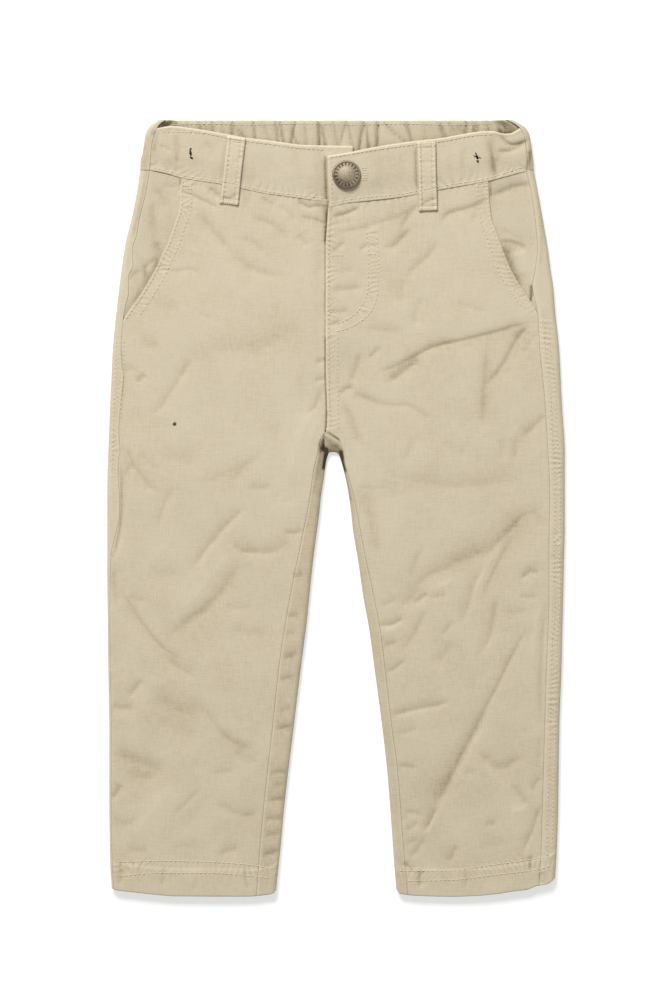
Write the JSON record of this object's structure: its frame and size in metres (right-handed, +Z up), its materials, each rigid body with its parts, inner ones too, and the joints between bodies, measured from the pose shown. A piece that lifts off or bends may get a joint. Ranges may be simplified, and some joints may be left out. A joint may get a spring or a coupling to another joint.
{
  "type": "toddler chino trousers",
  "caption": "Child's straight cotton trousers laid flat, front side up, with an elasticated back waistband, slanted pockets, belt loops and a metal tack button.",
  "frame": {"origin": "middle of the outline, on the surface that the trousers lie on", "axes": "+X to the wearer's left, +Y from the hems to the waistband, +Z up from the surface, out of the front of the trousers"},
  "size_m": [0.2748, 0.4666, 0.0113],
  "materials": {
    "cotton_twill": "matte beige cotton twill",
    "pocket_twill": "matte beige cotton twill",
    "waistband_twill": "matte beige cotton twill",
    "loop_twill": "matte beige cotton twill",
    "antique_metal": "dull antique brass"
  },
  "bodies": {
    "root": {"front_leg_right": "cotton_twill", "front_leg_left": "cotton_twill", "back_leg_right": "cotton_twill", "back_leg_left": "cotton_twill", "pocket_facing_right": "pocket_twill", "pocket_facing_left": "pocket_twill", "waistband_front_right": "waistband_twill", "waistband_front_left": "waistband_twill", "waistband_back": "waistband_twill", "belt_loop_right": "loop_twill", "belt_loop_left": "loop_twill", "button": "antique_metal"}
  },
  "joints": []
}
